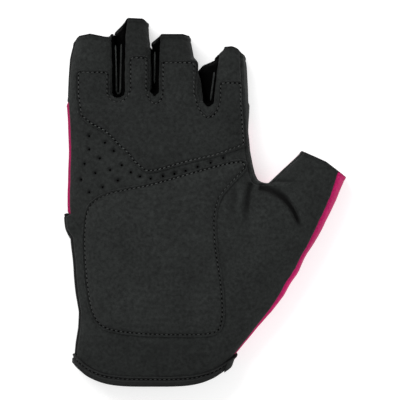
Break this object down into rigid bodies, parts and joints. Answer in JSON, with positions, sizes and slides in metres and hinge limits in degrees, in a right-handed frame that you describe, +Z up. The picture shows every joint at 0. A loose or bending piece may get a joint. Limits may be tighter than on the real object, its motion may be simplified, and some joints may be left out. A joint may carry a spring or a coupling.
{
  "type": "fitness glove",
  "caption": "Fingerless right-hand training glove with padded suede palm, stretch back, closure strap and bound wrist, lying palm up.",
  "frame": {"origin": "middle of the glove's footprint, on the surface that it lies on", "axes": "+Y towards the fingers, +X towards the thumb, +Z up out of the palm"},
  "size_m": [0.1304, 0.17, 0.0304],
  "materials": {
    "suede": "matte synthetic suede",
    "black_knit": "matte stretch knit",
    "magenta_knit": "matte stretch knit",
    "strap_knit": "matte brushed knit",
    "binding_tape": "fine woven tape"
  },
  "bodies": {
    "root": {"palm_panel": "suede", "grip_patch": "suede", "heel_pad": "suede", "back_panel": "magenta_knit", "finger_back_panel": "black_knit", "wrist_panel": "black_knit", "gusset_little_ring": "black_knit", "gusset_ring_middle": "black_knit", "gusset_middle_index": "black_knit", "gusset_index_thumb": "black_knit", "closure_strap": "strap_knit", "wrist_binding": "binding_tape", "binding_overlap": "binding_tape"}
  },
  "joints": []
}
